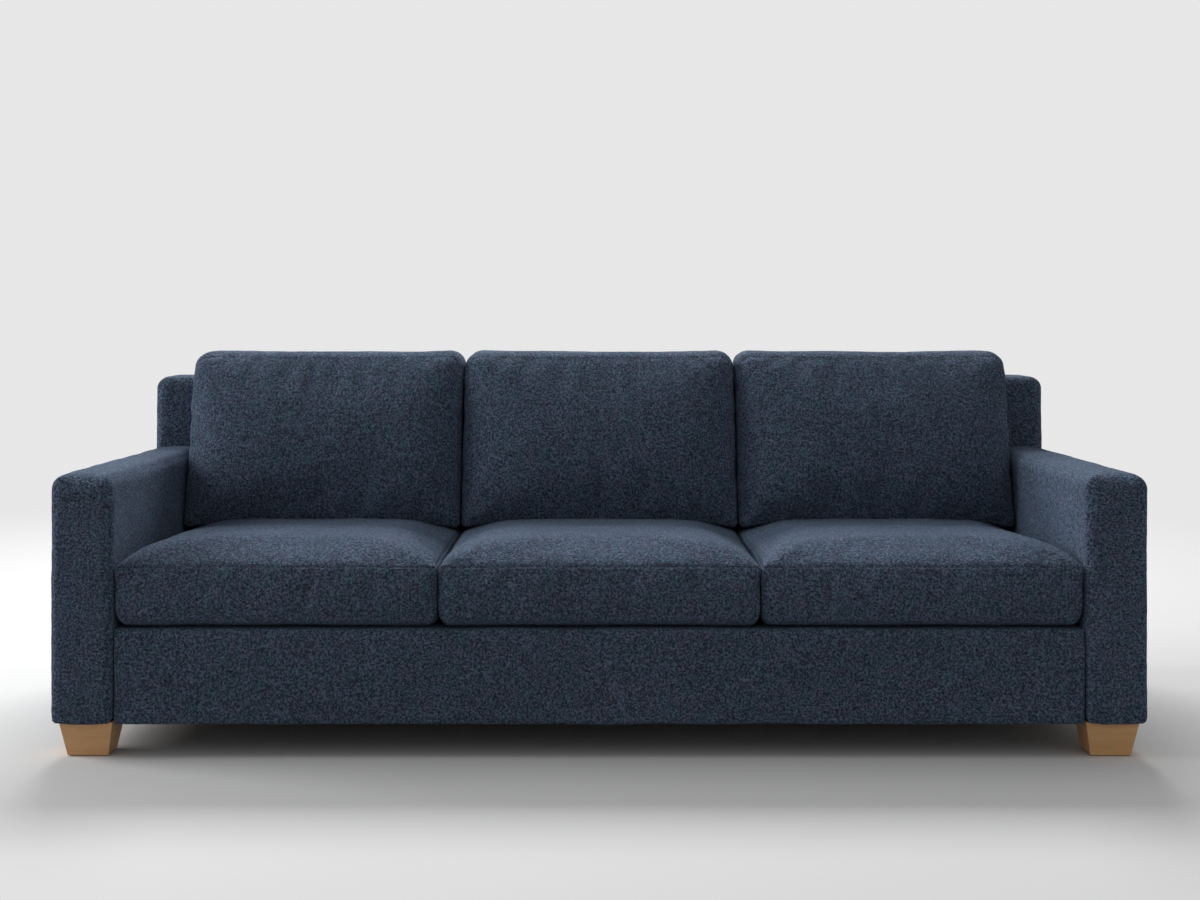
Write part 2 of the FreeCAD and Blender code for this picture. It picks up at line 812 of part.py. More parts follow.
def main():
    os.makedirs("parts", exist_ok=True)
    for name in foot_places:
        export(name, foot(name))
    export("foot_glides", [glide(name) for name in foot_places])
    export("foot_bolts", [foot_bolt(name, 0.0) for name in foot_places])
    export("tee_nuts", [threaded_nut(name) for name in foot_places])
    export("lag_bolts", lag_bolts())
    export_seat_base()
    export_arm("left", -1)
    export_arm("right", 1)
    export_back()
    seat_zip_z = (seat_bottom + seat_seam) / 2
    back_zip_z = back_cushion_bottom + back_zip_height
    for name, centre in zip(seat_names, seat_centres):
        export_cushion("seat_" + name, seat_form, centre, cushion_rear_y, seat_zip_z)
        export_cushion("back_" + name, back_form, centre, cushion_rear_y, back_zip_z)


main()
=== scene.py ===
import json
import math

import bpy
import numpy as np
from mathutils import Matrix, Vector

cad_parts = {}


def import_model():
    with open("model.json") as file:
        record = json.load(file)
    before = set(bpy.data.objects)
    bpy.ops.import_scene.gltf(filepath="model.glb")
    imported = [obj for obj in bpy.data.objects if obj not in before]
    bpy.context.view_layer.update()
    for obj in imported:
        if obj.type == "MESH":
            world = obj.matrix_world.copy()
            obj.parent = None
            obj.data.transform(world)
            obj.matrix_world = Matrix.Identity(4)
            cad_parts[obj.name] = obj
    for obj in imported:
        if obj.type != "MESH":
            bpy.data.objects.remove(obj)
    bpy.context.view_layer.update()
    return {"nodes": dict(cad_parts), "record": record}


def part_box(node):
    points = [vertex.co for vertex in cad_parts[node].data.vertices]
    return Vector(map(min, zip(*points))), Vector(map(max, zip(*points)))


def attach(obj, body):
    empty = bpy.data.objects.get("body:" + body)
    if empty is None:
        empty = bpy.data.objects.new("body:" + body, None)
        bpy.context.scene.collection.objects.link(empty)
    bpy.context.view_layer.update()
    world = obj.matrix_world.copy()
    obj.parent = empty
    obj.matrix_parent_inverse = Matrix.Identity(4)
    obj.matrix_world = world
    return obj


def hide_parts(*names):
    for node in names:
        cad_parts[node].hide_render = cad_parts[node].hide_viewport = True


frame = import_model()

# A three-seat sofa in heathered boucle, with six loose cushions and tapered wooden feet.
# Metres: X runs along the sofa, Y from front to back and Z up. Left and right are as seen
# from the front.

SEAT_NAMES = ["left", "centre", "right"]

# Upholstery over the frame. A run is the distance over which one form passes into the next.
COVER_THICKNESS = 0.002
STAPLE_MARGIN = 0.022
FRAME_TOP_RUN = 0.15
FRAME_TOP_EDGE = 0.02
FRAME_FOOT_RUN = 0.04
FRAME_END_RUN = 0.05
FRAME_FRONT_RUN = 0.10
FRAME_FULLNESS = 4
FRAME_FILL = 0.95
FRAME_UNEVENNESS = 0.0007
FRAME_SEAM_DEPTH = 0.0008
ARM_DRAW = 0.001
ARM_CROWN = 0.004
BACK_FRAME_DRAW = 0.003
BACK_FRAME_CROWN = 0.005
BORDER_END_RUN = 0.010
BORDER_END_RADIUS = 0.0005
BORDER_END_REACH = 0.0008
HEM_DROP = 0.005
HEM_RUN = 0.014

# Edge roundings of the arms, back and front border
ARM_RADII = {
    "top": 0.029, "top_front": 0.042, "side_top": 0.027, "side": 0.020, "front_top": 0.046,
    "front": 0.018, "rear_top": 0.006, "rear": 0.004, "under": 0.012, "under_end": 0.028,
}
BACK_RADII = {
    "top": 0.033, "top_front": 0.033, "side_top": 0.034, "side": 0.022, "front_top": 0.028,
    "front": 0.022, "rear_top": 0.024, "rear": 0.016, "under": 0.009, "under_end": 0.009,
}
BORDER_RADII = {
    "top": 0.024, "top_front": 0.024, "side_top": 0.004, "side": 0.004, "front_top": 0.013,
    "front": 0.012, "rear_top": 0.002, "rear": 0.002, "under": 0.009, "under_end": 0.009,
}

# Small rises and dips of every cover
UNEVEN_LENGTH = 0.16
RIPPLE_LENGTH = 0.035
RIPPLE_SHARE = 0.35
UNEVEN_WAVES = 10

# Seat cushions
SEAT_FILL = 0.8
SEAT_SEAM_DEPTH = 0.0042
SEAT_SEAM_DROP = 0.036
SEAT_CROWN = 0.027
SEAT_SWELL = 0.017
SEAT_SWELL_RUN = 0.34
SEAT_SIDE_FULLNESS = 4.0
SEAT_FRONT_ROLL = 0.11
SEAT_REAR_ROLL = 0.12
SEAT_ROLL_POWER = 0.62
SEAT_EDGE_RADIUS = 0.006
SEAT_EDGE_RUN = 0.05
SEAT_UPRIGHT_RADIUS = 0.015
SEAT_LOWER_RADIUS = 0.024
SEAT_LOWER_RISE = 0.028
SEAT_LOWER_FRONT = 0.055
SEAT_HELD_HEIGHT = 0.035
SEAT_SIDE_DRAW = 0.002
SEAT_FRONT_DRAW = 0.003
SEAT_FRONT_SWELL = 0.006
SEAT_FRONT_FULLNESS = 4
SEAT_SETTLING = 0.010
SEAT_UNEVENNESS = 0.0009

# Back cushions
BACK_FILL = 0.7
BACK_SEAM_DEPTH = 0.0012
BACK_TOP_THICKNESS = 0.130
BACK_BOTTOM_THICKNESS = 0.234
BACK_CROWN = 0.048
BACK_WIDTH_FULLNESS = 5.0
BACK_HEIGHT_FULLNESS = 2.2
BACK_UPPER_RADIUS = 0.041
BACK_UPPER_RUN = 0.10
BACK_UPRIGHT_RADIUS = 0.024
BACK_LOWER_RADIUS = 0.024
BACK_LOWER_RUN = 0.08
BACK_REST_RUN = 0.16
BACK_EDGE_RADIUS = 0.014
BACK_TOP_EDGE_RADIUS = 0.058
BACK_SIDE_DRAW = 0.003
BACK_TOP_DRAW = 0.004
BACK_TOP_TAPER = 0.0028
BACK_TAPER_RUN = 0.16
BACK_CORNER_DROP = 0.010
BACK_SETTLING = 0.012
BACK_UNEVENNESS = 0.0011

# Zips
ZIP_STAND = 0.0009
ZIP_TAPE_HALF_HEIGHT = 0.012
ZIP_TAPE_THICKNESS = 0.0006
ZIP_TAPE_TAPER = 0.9
ZIP_COIL_HALF_HEIGHT = 0.0025
ZIP_COIL_DEPTH = 0.0016
ZIP_TOOTH_PITCH = 0.0015
ZIP_TOOTH_LENGTH = 0.0011
ZIP_TOOTH_OVERLAP = 0.25
SLIDER_HALF_HEIGHT = 0.0038

# Stitches
STITCH_PITCH = 0.0075
STITCH_LENGTH = 0.0052
STITCH_RADIUS = 0.0006
STITCH_SIDES = 6
# Rings of a stitch: place along it and size, as shares of its length and radius
STITCH_RINGS = ((-0.5, 0.3), (-0.32, 1.0), (0.32, 1.0), (0.5, 0.3))

# Settling of the cushion covers as cloth
CLOTH_FRAMES = 10
CLOTH_PRESSURE = 4.0
CLOTH_SLACK = 0.012
CLOTH_QUALITY = 4
CLOTH_MASS = 0.3
CLOTH_BENDING = 2.0

# Feet
FOOT_EDGE_RADIUS = 0.0025
FOOT_EDGE_SEGMENTS = 3
FOOT_WELD = 0.00002

# Grid of the upholstery meshes: fine in a margin at every edge, with a line beside each seam
FINE_STEP = 0.0055
FINE_MARGIN = 0.045
COARSE_STEP = 0.0135
SEAM_LIP = 0.0024

# Boucle. Scales are per metre, and the shares say how much each yarn lightens the ground.
SWAY_SCALE = 110.0
SWAY_REACH = 0.009
THICK_SCALE = 170.0
THICK_WIDTH = 0.36
THICK_SHARE = 0.90
THIN_SCALE = 310.0
THIN_WIDTH = 0.42
THIN_SHARE = 0.30
BREAK_SCALE = 200.0
HEATHER_SCALE = 42.0
DRIFT_SCALE = 6.0
LOOP_HEIGHT = 0.004
GROUND_COLOUR = (0.0025, 0.0040, 0.0065, 1.0)
YARN_COLOUR = (0.141, 0.196, 0.288, 1.0)

# Stage and camera
BACKDROP = 0.8
AMBIENT = 0.40
FLOOR_SEEN = (0.62, 0.62, 0.62, 1.0)
FLOOR_BOUNCE = (0.32, 0.32, 0.32, 1.0)
FLOOR_HALF = 60.0
FLOOR_FADE_START = 1.5
FLOOR_FADE_END = 5.0
LIGHT_TARGET = (0.0, 0.0, 0.5)
CAMERA_LENS = 45.27
CAMERA_SENSOR = 36.0
CAMERA_SHIFT_X = 0.0006
CAMERA_SHIFT_Y = -0.104
CAMERA_DISTANCE = 3.3
CAMERA_HEIGHT = 0.951
CAMERA_CLIP = 200.0


# Material helpers

def new_material(name):
    material = bpy.data.materials.new(name)
    material.use_nodes = True
    tree = material.node_tree
    return material, tree, tree.nodes["Principled BSDF"]


def node(tree, kind, inputs=(), **settings):
    """Adds a node. Each input is a value or a socket to link."""
    made = tree.nodes.new(kind)
    for name, value in settings.items():
        setattr(made, name, value)
    for name, value in dict(inputs).items():
        if isinstance(value, bpy.types.NodeSocket):
            tree.links.new(value, made.inputs[name])
        else:
            made.inputs[name].default_value = value
    return made


def math_node(tree, operation, *values):
    return node(tree, "ShaderNodeMath", dict(enumerate(values)), operation=operation).outputs[0]


def mapped(tree, value, start, end, low=0.0, high=1.0):
    """The value stretched from start..end to low..high."""
    inputs = {"Value": value, "From Min": start, "From Max": end, "To Min": low, "To Max": high}
    return node(tree, "ShaderNodeMapRange", inputs).outputs["Result"]


def noise(tree, place, scale, detail=2.0, roughness=0.5):
    inputs = {"Vector": place, "Scale": scale, "Detail": detail, "Roughness": roughness}
    return node(tree, "ShaderNodeTexNoise", inputs)


def mixed(tree, share, first, second, blend="MIX"):
    made = node(tree, "ShaderNodeMix", data_type="RGBA", blend_type=blend)
    for socket, value in zip((made.inputs[0], made.inputs[6], made.inputs[7]), (share, first, second)):
        if isinstance(value, bpy.types.NodeSocket):
            tree.links.new(value, socket)
        else:
            socket.default_value = value
    return made.outputs[2]


def object_place(tree, scale=(1.0, 1.0, 1.0)):
    place = node(tree, "ShaderNodeTexCoord").outputs["Object"]
    if scale == (1.0, 1.0, 1.0):
        return place
    return node(tree, "ShaderNodeMapping", {"Vector": place, "Scale": scale}).outputs["Vector"]


def bump(tree, shader, height, strength, distance):
    inputs = {"Height": height, "Strength": strength, "Distance": distance}
    tree.links.new(node(tree, "ShaderNodeBump", inputs).outputs["Normal"], shader.inputs["Normal"])


def set_shader(shader, values):
    for name, value in values.items():
        shader.inputs[name].default_value = value


# Materials

def curls(tree, place, scale, width):
    """Thin winding lines, like looped yarn."""
    field = noise(tree, place, scale, 1.0).outputs["Fac"]
    spread = math_node(tree, "ABSOLUTE", math_node(tree, "MULTIPLY_ADD", field, 2.0, -1.0))
    return mapped(tree, spread, 0.0, width, 1.0, 0.0)


def boucle():
    """Heathered navy boucle: slate and navy loops over a dark ground, with a soft sheen."""
    material, tree, shader = new_material("boucle_fabric")
    place = object_place(tree)
    sway = noise(tree, place, SWAY_SCALE, 1.0).outputs["Color"]
    centred = node(tree, "ShaderNodeVectorMath", {0: sway, 1: (0.5, 0.5, 0.5)}, operation="SUBTRACT")
    swayed = {0: centred.outputs[0], 1: (SWAY_REACH,) * 3, 2: place}
    curled = node(tree, "ShaderNodeVectorMath", swayed, operation="MULTIPLY_ADD").outputs[0]
    thick = curls(tree, curled, THICK_SCALE, THICK_WIDTH)
    thin = curls(tree, curled, THIN_SCALE, THIN_WIDTH)
    breaks = mapped(tree, noise(tree, place, BREAK_SCALE, 1.0).outputs["Fac"], 0.36, 0.60, 0.05, 1.0)
    strokes = math_node(tree, "MULTIPLY", math_node(tree, "MULTIPLY", thick, breaks), THICK_SHARE)
    lightness = math_node(tree, "MULTIPLY_ADD", thin, THIN_SHARE, strokes)
    yarn = mixed(tree, lightness, GROUND_COLOUR, YARN_COLOUR)
    heather = mapped(tree, noise(tree, place, HEATHER_SCALE, 2.0, 0.6).outputs["Fac"], 0.35, 0.65)
    hue = mixed(tree, heather, (0.90, 1.03, 1.0, 1.0), (1.12, 0.96, 1.01, 1.0))
    drift = mapped(tree, noise(tree, place, DRIFT_SCALE, 2.0).outputs["Fac"], 0.3, 0.7, 0.92, 1.08)
    tinted = mixed(tree, 1.0, yarn, hue, "MULTIPLY")
    shaded = node(tree, "ShaderNodeVectorMath", {0: tinted, "Scale": drift}, operation="SCALE").outputs[0]
    tree.links.new(shaded, shader.inputs["Base Color"])
    bump(tree, shader, lightness, 0.8, LOOP_HEIGHT)
    set_shader(shader, {"Roughness": 0.95, "Specular IOR Level": 0.1, "Sheen Weight": 0.18,
                        "Sheen Roughness": 0.45, "Sheen Tint": (0.52, 0.70, 1.0, 1.0)})
    return material


def timber(name, pale, dark, grain, roughness):
    """Planed hardwood. grain says along which axis the fibres run."""
    material, tree, shader = new_material(name)
    place = object_place(tree, tuple(0.06 if axis == grain else 1.0 for axis in "XYZ"))
    wide = noise(tree, place, 60.0, 4.0, 0.6).outputs["Fac"]
    fine = noise(tree, place, 420.0, 3.0, 0.65).outputs["Fac"]
    streaks = math_node(tree, "MULTIPLY_ADD", fine, 0.45, math_node(tree, "MULTIPLY", wide, 0.55))
    colour = mixed(tree, mapped(tree, streaks, 0.32, 0.68), dark, pale)
    tree.links.new(colour, shader.inputs["Base Color"])
    tree.links.new(mapped(tree, fine, 0.3, 0.7, roughness + 0.08, roughness - 0.05),
                   shader.inputs["Roughness"])
    bump(tree, shader, streaks, 0.12, 0.0006)
    set_shader(shader, {"Specular IOR Level": 0.4})
    return material


def woven(name, pale, dark, thread, roughness=0.9):
    """Plain woven cloth with threads along X and across it."""
    material, tree, shader = new_material(name)
    place = object_place(tree)
    waves = []
    for axis in ("X", "DIAGONAL"):
        inputs = {"Vector": place, "Scale": 0.31 / thread, "Distortion": 0.4, "Detail": 1.0}
        waves.append(node(tree, "ShaderNodeTexWave", inputs, bands_direction=axis).outputs["Fac"])
    weave = math_node(tree, "MULTIPLY", waves[0], waves[1])
    tree.links.new(mixed(tree, weave, dark, pale), shader.inputs["Base Color"])
    bump(tree, shader, weave, 0.4, thread / 2)
    set_shader(shader, {"Roughness": roughness, "Specular IOR Level": 0.2})
    return material


def fluff(name, pale, dark, scale, depth):
    """Foam or fibre wadding: a soft mottled surface with small pits."""
    material, tree, shader = new_material(name)
    place = object_place(tree)
    pits = noise(tree, place, scale, 4.0, 0.7).outputs["Fac"]
    tree.links.new(mixed(tree, mapped(tree, pits, 0.3, 0.7), dark, pale), shader.inputs["Base Color"])
    bump(tree, shader, pits, 0.5, depth)
    set_shader(shader, {"Roughness": 0.95, "Specular IOR Level": 0.1})
    return material


def metal(name, colour, roughness, scale):
    """Wire, bolt or zip metal with fine marks."""
    material, tree, shader = new_material(name)
    marks = noise(tree, object_place(tree), scale, 4.0, 0.6).outputs["Fac"]
    worn = tuple(0.6 * part for part in colour[:3]) + (1.0,)
    shade = mixed(tree, mapped(tree, marks, 0.35, 0.65), worn, colour)
    tree.links.new(shade, shader.inputs["Base Color"])
    tree.links.new(mapped(tree, marks, 0.3, 0.7, roughness + 0.12, roughness), shader.inputs["Roughness"])
    bump(tree, shader, marks, 0.1, 0.0002)
    set_shader(shader, {"Metallic": 1.0})
    return material


def moulded(name, colour, scale):
    """Moulded plastic or nylon with a fine grain."""
    material, tree, shader = new_material(name)
    grain = noise(tree, object_place(tree), scale, 2.0).outputs["Fac"]
    pale = tuple(min(1.0, 1.5 * part) for part in colour[:3]) + (1.0,)
    tree.links.new(mixed(tree, mapped(tree, grain, 0.3, 0.7), colour, pale), shader.inputs["Base Color"])
    bump(tree, shader, grain, 0.2, 0.0003)
    set_shader(shader, {"Roughness": 0.5})
    return material


FABRIC = boucle()
THREAD = woven("seam_thread", (0.16, 0.19, 0.24, 1.0), (0.07, 0.09, 0.12, 1.0), 0.0006)
ZIP_TAPE = woven("zip_tape", (0.030, 0.036, 0.050, 1.0), (0.012, 0.016, 0.024, 1.0), 0.0008)
ZIP_COIL = moulded("zip_coil", (0.020, 0.026, 0.038, 1.0), 900.0)
SLOT_MATERIALS = {
    "upholstery": FABRIC,
    "foam": fluff("seat_foam", (0.80, 0.72, 0.50, 1.0), (0.66, 0.58, 0.38, 1.0), 500.0, 0.001),
    "fibre_pad": fluff("fibre_wadding", (0.80, 0.79, 0.76, 1.0), (0.60, 0.59, 0.57, 1.0), 180.0, 0.003),
    "deck_cloth": woven("deck_cloth", (0.040, 0.048, 0.062, 1.0), (0.015, 0.019, 0.026, 1.0), 0.0012),
    "dust_cloth": fluff("dust_cloth", (0.030, 0.030, 0.032, 1.0), (0.012, 0.012, 0.013, 1.0),
                        700.0, 0.0004),
    "webbing": woven("webbing", (0.075, 0.075, 0.078, 1.0), (0.020, 0.020, 0.022, 1.0), 0.0025),
    "frame_timber": timber("frame_timber", (0.62, 0.46, 0.28, 1.0), (0.44, 0.30, 0.17, 1.0), "X", 0.7),
    "foot_timber": timber("foot_timber", (0.84, 0.50, 0.24, 1.0), (0.68, 0.37, 0.16, 1.0), "X", 0.42),
    "steel": metal("bright_steel", (0.56, 0.56, 0.57, 1.0), 0.32, 300.0),
    "glide": moulded("glide_plastic", (0.10, 0.092, 0.085, 1.0), 400.0),
    "zip_metal": metal("zip_metal", (0.085, 0.09, 0.10, 1.0), 0.34, 600.0),
}


# Mesh helpers

def smooth_step(value, start, end):
    share = np.clip((value - start) / (end - start), 0.0, 1.0)
    return share * share * (3 - 2 * share)


def fullness(share, power):
    """1 in the middle of a panel and 0 at its edges, for shares from -1 to 1."""
    return 1 - np.abs(np.clip(share, -1, 1)) ** power


def rolled(share):
    """A quarter-round rise: 0 at the edge, 1 from a share of 1 on."""
    return (1 - (1 - np.clip(share, 0, 1)) ** 2) ** SEAT_ROLL_POWER


def graded(low, high):
    """Grid lines from low to high, close together near both ends and closest beside a seam."""
    lines = [low, low + SEAM_LIP, high - SEAM_LIP, high]
    stretches = [
        (low, low + FINE_MARGIN, FINE_STEP),
        (low + FINE_MARGIN, high - FINE_MARGIN, COARSE_STEP),
        (high - FINE_MARGIN, high, FINE_STEP),
    ]
    for start, end, step in stretches:
        count = max(1, round((end - start) / step))
        lines.extend(np.linspace(start, end, count + 1)[1:-1])
        lines.append(end)
    return np.unique(np.round(lines, 6))


def box_surface(low, high):
    """A box's surface on graded grid lines.

    Gives the points, their grid places, the quads, each grid place's point and the last places.
    """
    xs, ys, zs = (graded(low[axis], high[axis]) for axis in range(3))
    index = {}
    points = []

    def at(i, j, k):
        if (i, j, k) not in index:
            index[i, j, k] = len(points)
            points.append((xs[i], ys[j], zs[k]))
        return index[i, j, k]

    ends = (len(xs) - 1, len(ys) - 1, len(zs) - 1)
    quads = []
    for axis in range(3):
        first, second = [other for other in range(3) if other != axis]
        for a in range(ends[first]):
            for b in range(ends[second]):
                for level in (0, ends[axis]):
                    corners = []
                    for da, db in ((0, 0), (1, 0), (1, 1), (0, 1)):
                        place = [0, 0, 0]
                        place[axis] = level
                        place[first] = a + da
                        place[second] = b + db
                        corners.append(at(*place))
                    outward = (level > 0) != (axis == 1)
                    quads.append(corners if outward else corners[::-1])
    return np.array(points), np.array(list(index)), quads, index, ends


def rounded(points, low, high, low_reach, high_reach):
    """Rounds a box's edges. The reaches say how far in from each face the rounding goes."""
    inner = np.clip(points, low + low_reach, high - high_reach)
    out = points - inner
    reach = np.where(out < 0, low_reach, high_reach)
    share = out / reach
    length = np.maximum(np.linalg.norm(share, axis=1, keepdims=True), 1.0)
    return inner + share / length * reach


def unevenness(points, seed, wavelength):
    """A smooth field of small rises and dips, the same on each run."""
    draw = np.random.default_rng(seed)
    total = np.zeros(len(points))
    for _ in range(UNEVEN_WAVES):
        direction = draw.normal(size=3)
        direction /= np.linalg.norm(direction)
        length = wavelength * draw.uniform(0.6, 1.6)
        total += np.sin(2 * math.pi * (points @ direction) / length + draw.uniform(0, 2 * math.pi))
    return total / math.sqrt(UNEVEN_WAVES)


def new_piece(name, points, faces, *materials):
    mesh = bpy.data.meshes.new(name)
    mesh.from_pydata([tuple(point) for point in points], [], faces)
    mesh.polygons.foreach_set("use_smooth", [True] * len(mesh.polygons))
    for material in materials:
        mesh.materials.append(material)
    piece = bpy.data.objects.new(name, mesh)
    bpy.context.scene.collection.objects.link(piece)
    return piece


def points_of(piece):
    flat = np.zeros(3 * len(piece.data.vertices))
    piece.data.vertices.foreach_get("co", flat)
    return flat.reshape(-1, 3)


def set_points(piece, points):
    piece.data.vertices.foreach_set("co", np.asarray(points, np.float32).ravel())
    piece.data.update()


def normals_of(piece):
    flat = np.zeros(3 * len(piece.data.vertices))
    piece.data.vertex_normals.foreach_get("vector", flat)
    return flat.reshape(-1, 3)


def sew(piece, seam, depth, box_points, uneven, seed):
    """Sinks the seam points, and gives the surface between them its small unevenness."""
    points = points_of(piece)
    normals = normals_of(piece)
    waves = unevenness(box_points, seed, UNEVEN_LENGTH)
    waves += RIPPLE_SHARE * unevenness(box_points, seed + 1, RIPPLE_LENGTH)
    move = uneven * waves
    move[seam] = -depth
    set_points(piece, points + normals * move[:, None])


def settle(piece, held, most):
    """Lets a cover swell and crease as cloth over its filling.

    Some points are held, and no point moves further than a distance.
    """
    scene = bpy.context.scene
    start = points_of(piece)
    group = piece.vertex_groups.new(name="held")
    group.add([int(point) for point in held], 1.0, "REPLACE")
    step = piece.modifiers.new("cloth", "CLOTH")
    step.point_cache.frame_start = 1
    step.point_cache.frame_end = CLOTH_FRAMES
    step.collision_settings.use_collision = False
    cloth = step.settings
    cloth.quality = CLOTH_QUALITY
    cloth.mass = CLOTH_MASS
    cloth.bending_stiffness = CLOTH_BENDING
    cloth.vertex_group_mass = "held"
    cloth.shrink_min = -CLOTH_SLACK
    cloth.use_pressure = True
    cloth.uniform_pressure_force = CLOTH_PRESSURE
    cloth.effector_weights.gravity = 0.0
    for moment in range(1, CLOTH_FRAMES + 1):
        scene.frame_set(moment)
    settled = piece.evaluated_get(bpy.context.evaluated_depsgraph_get())
    move = points_of(settled) - start
    piece.modifiers.remove(step)
    piece.vertex_groups.remove(group)
    scene.frame_set(1)
    length = np.maximum(np.linalg.norm(move, axis=1, keepdims=True), 1e-9)
    set_points(piece, start + move * np.tanh(length / most) * most / length)


def box_of(node_name):
    low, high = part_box(node_name)
    return np.array(low), np.array(high)


def subdivide(piece):
    step = piece.modifiers.new("subdivision", "SUBSURF")
    step.levels = 1
    step.render_levels = 1


def dress(piece, body, fill, *replaced):
    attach(piece, body)
    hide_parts(*replaced)


# Arms, back and front border: fabric drawn over padding

def stretched_cover(name, node_name, radii, draw, crown, seams, seed, open_rear=False):
    """A padded block's cover.

    radii holds the edge roundings, draw says how far the edges are pulled in, and crown how far
    the top's ends lie below its middle. An open rear is for the border, which ends at both arms.
    """
    low, high = box_of(node_name)
    if open_rear:
        low[0] -= BORDER_END_REACH
        high[0] += BORDER_END_REACH
    box_points, places, quads, index, ends = box_surface(low, high)
    top_share = smooth_step(box_points[:, 2], high[2] - FRAME_TOP_RUN, high[2] - FRAME_TOP_EDGE)
    low_share = 1 - smooth_step(box_points[:, 2], low[2], low[2] + FRAME_FOOT_RUN)

    def reach(upper, middle):
        across = middle + (upper - middle) * top_share
        return across + (radii["under"] - across) * low_share

    side = reach(radii["side_top"], radii["side"])
    if open_rear:
        side *= 1 - smooth_step(box_points[:, 1], low[1], low[1] + BORDER_END_RUN)
        side += BORDER_END_RADIUS
    within = np.minimum(box_points[:, 0] - low[0], high[0] - box_points[:, 0])
    within = smooth_step(within, 0.0, FRAME_END_RUN)
    front_top = radii["front"] + (radii["front_top"] - radii["front"]) * within
    front_share = 1 - smooth_step(box_points[:, 1], low[1], low[1] + FRAME_FRONT_RUN)
    top = radii["top"] + (radii["top_front"] - radii["top"]) * within * front_share
    under = radii["under_end"] + (radii["under"] - radii["under_end"]) * within
    low_reach = np.stack([side, reach(front_top, radii["front"]), under], 1)
    high_reach = np.stack([side, reach(radii["rear_top"], radii["rear"]), top], 1)
    points = rounded(box_points, low, high, low_reach, high_reach)

    middle = (low + high) / 2
    half = (high - low) / 2
    share = (box_points - middle) / half
    full = [fullness(share[:, axis], FRAME_FULLNESS) for axis in range(3)]
    if not open_rear:
        points[:, 0] -= draw * share[:, 0] * (1 - full[1] * full[2])
    points[:, 1] += draw * front_share * (1 - full[0] * full[2])
    points[:, 2] -= crown * share[:, 0] ** 2 * smooth_step(box_points[:, 2], middle[2], high[2])
    points[:, 2] -= HEM_DROP * low_share * (1 - smooth_step(box_points[:, 1], low[1], low[1] + HEM_RUN))

    if open_rear:
        opening = places[:, 1] == ends[1]
    else:
        opening = np.all((box_points > low + STAPLE_MARGIN)[:, :2], axis=1)
        opening &= np.all((box_points < high - STAPLE_MARGIN)[:, :2], axis=1)
        opening &= places[:, 2] == 0

    def dropped(quad):
        return all(opening[corner] for corner in quad)

    quads = [quad for quad in quads if not dropped(quad)]
    used = sorted({corner for quad in quads for corner in quad})
    renumbered = {old: new for new, old in enumerate(used)}
    quads = [[renumbered[corner] for corner in quad] for quad in quads]
    piece = new_piece(name, points[used], quads, FABRIC)
    seam = [renumbered[index[place]] for place in seams(ends) if index[place] in renumbered]
    sew(piece, seam, FRAME_SEAM_DEPTH, box_points[used], FRAME_UNEVENNESS, seed)
    shell = piece.modifiers.new("cloth_thickness", "SOLIDIFY")
    shell.thickness = COVER_THICKNESS
    shell.offset = -1.0
    return piece


def arm_seams(ends):
    """Along the top's long edges and down both upright front edges."""
    last_x, last_y, last_z = ends
    return [(x, y, last_z) for x in (0, last_x) for y in range(last_y + 1)] + [
        (x, 0, z) for x in (0, last_x) for z in range(last_z)
    ]


def back_seams(ends):
    """Up the rear panel's sides and along its top."""
    last_x, last_y, last_z = ends
    upright = [(x, last_y, z) for x in (0, last_x) for z in range(last_z)]
    return upright + [(x, last_y, last_z) for x in range(last_x + 1)]


def no_seams(ends):
    return []


for seed, side_name in ((11, "left"), (23, "right")):
    arm = stretched_cover(side_name + "_arm_upholstery", side_name + "_arm_cover", ARM_RADII,
                          ARM_DRAW, ARM_CROWN, arm_seams, seed)
    dress(arm, "sofa_frame", FRAME_FILL, side_name + "_arm_cover", side_name + "_arm_padding")
back = stretched_cover("back_upholstery", "back_cover", BACK_RADII,
                       BACK_FRAME_DRAW, BACK_FRAME_CROWN, back_seams, 37)
dress(back, "sofa_frame", FRAME_FILL, "back_cover", "back_padding")
border = stretched_cover("front_border_upholstery", "front_border_cover", BORDER_RADII,
                         0.0, 0.0, no_seams, 41, open_rear=True)
dress(border, "sofa_frame", FRAME_FILL, "front_border_cover", "front_border_padding")


# Seat cushions

def loop_at(ends, axis, level, inset=0):
    """Grid places in order round a face of the box, some lines in from its edge."""
    first, second = [other for other in range(3) if other != axis]
    last_a = ends[first] - inset
    last_b = ends[second] - inset
    around = [(a, inset) for a in range(inset, last_a)]
    around += [(last_a, b) for b in range(inset, last_b)]
    around += [(a, last_b) for a in range(last_a, inset, -1)]
    around += [(inset, b) for b in range(last_b, inset, -1)]
    places = []
    for a, b in around:
        place = [0, 0, 0]
        place[axis] = level
        place[first] = a
        place[second] = b
        places.append(tuple(place))
    return places


def keep_within(piece, low, high):
    """Keeps a settled cover between its neighbours and on what it rests on."""
    points = points_of(piece)
    points[:, 0] = np.clip(points[:, 0], low[0], high[0])
    points[:, 1] = np.minimum(points[:, 1], high[1])
    points[:, 2] = np.maximum(points[:, 2], low[2])
    set_points(piece, points)


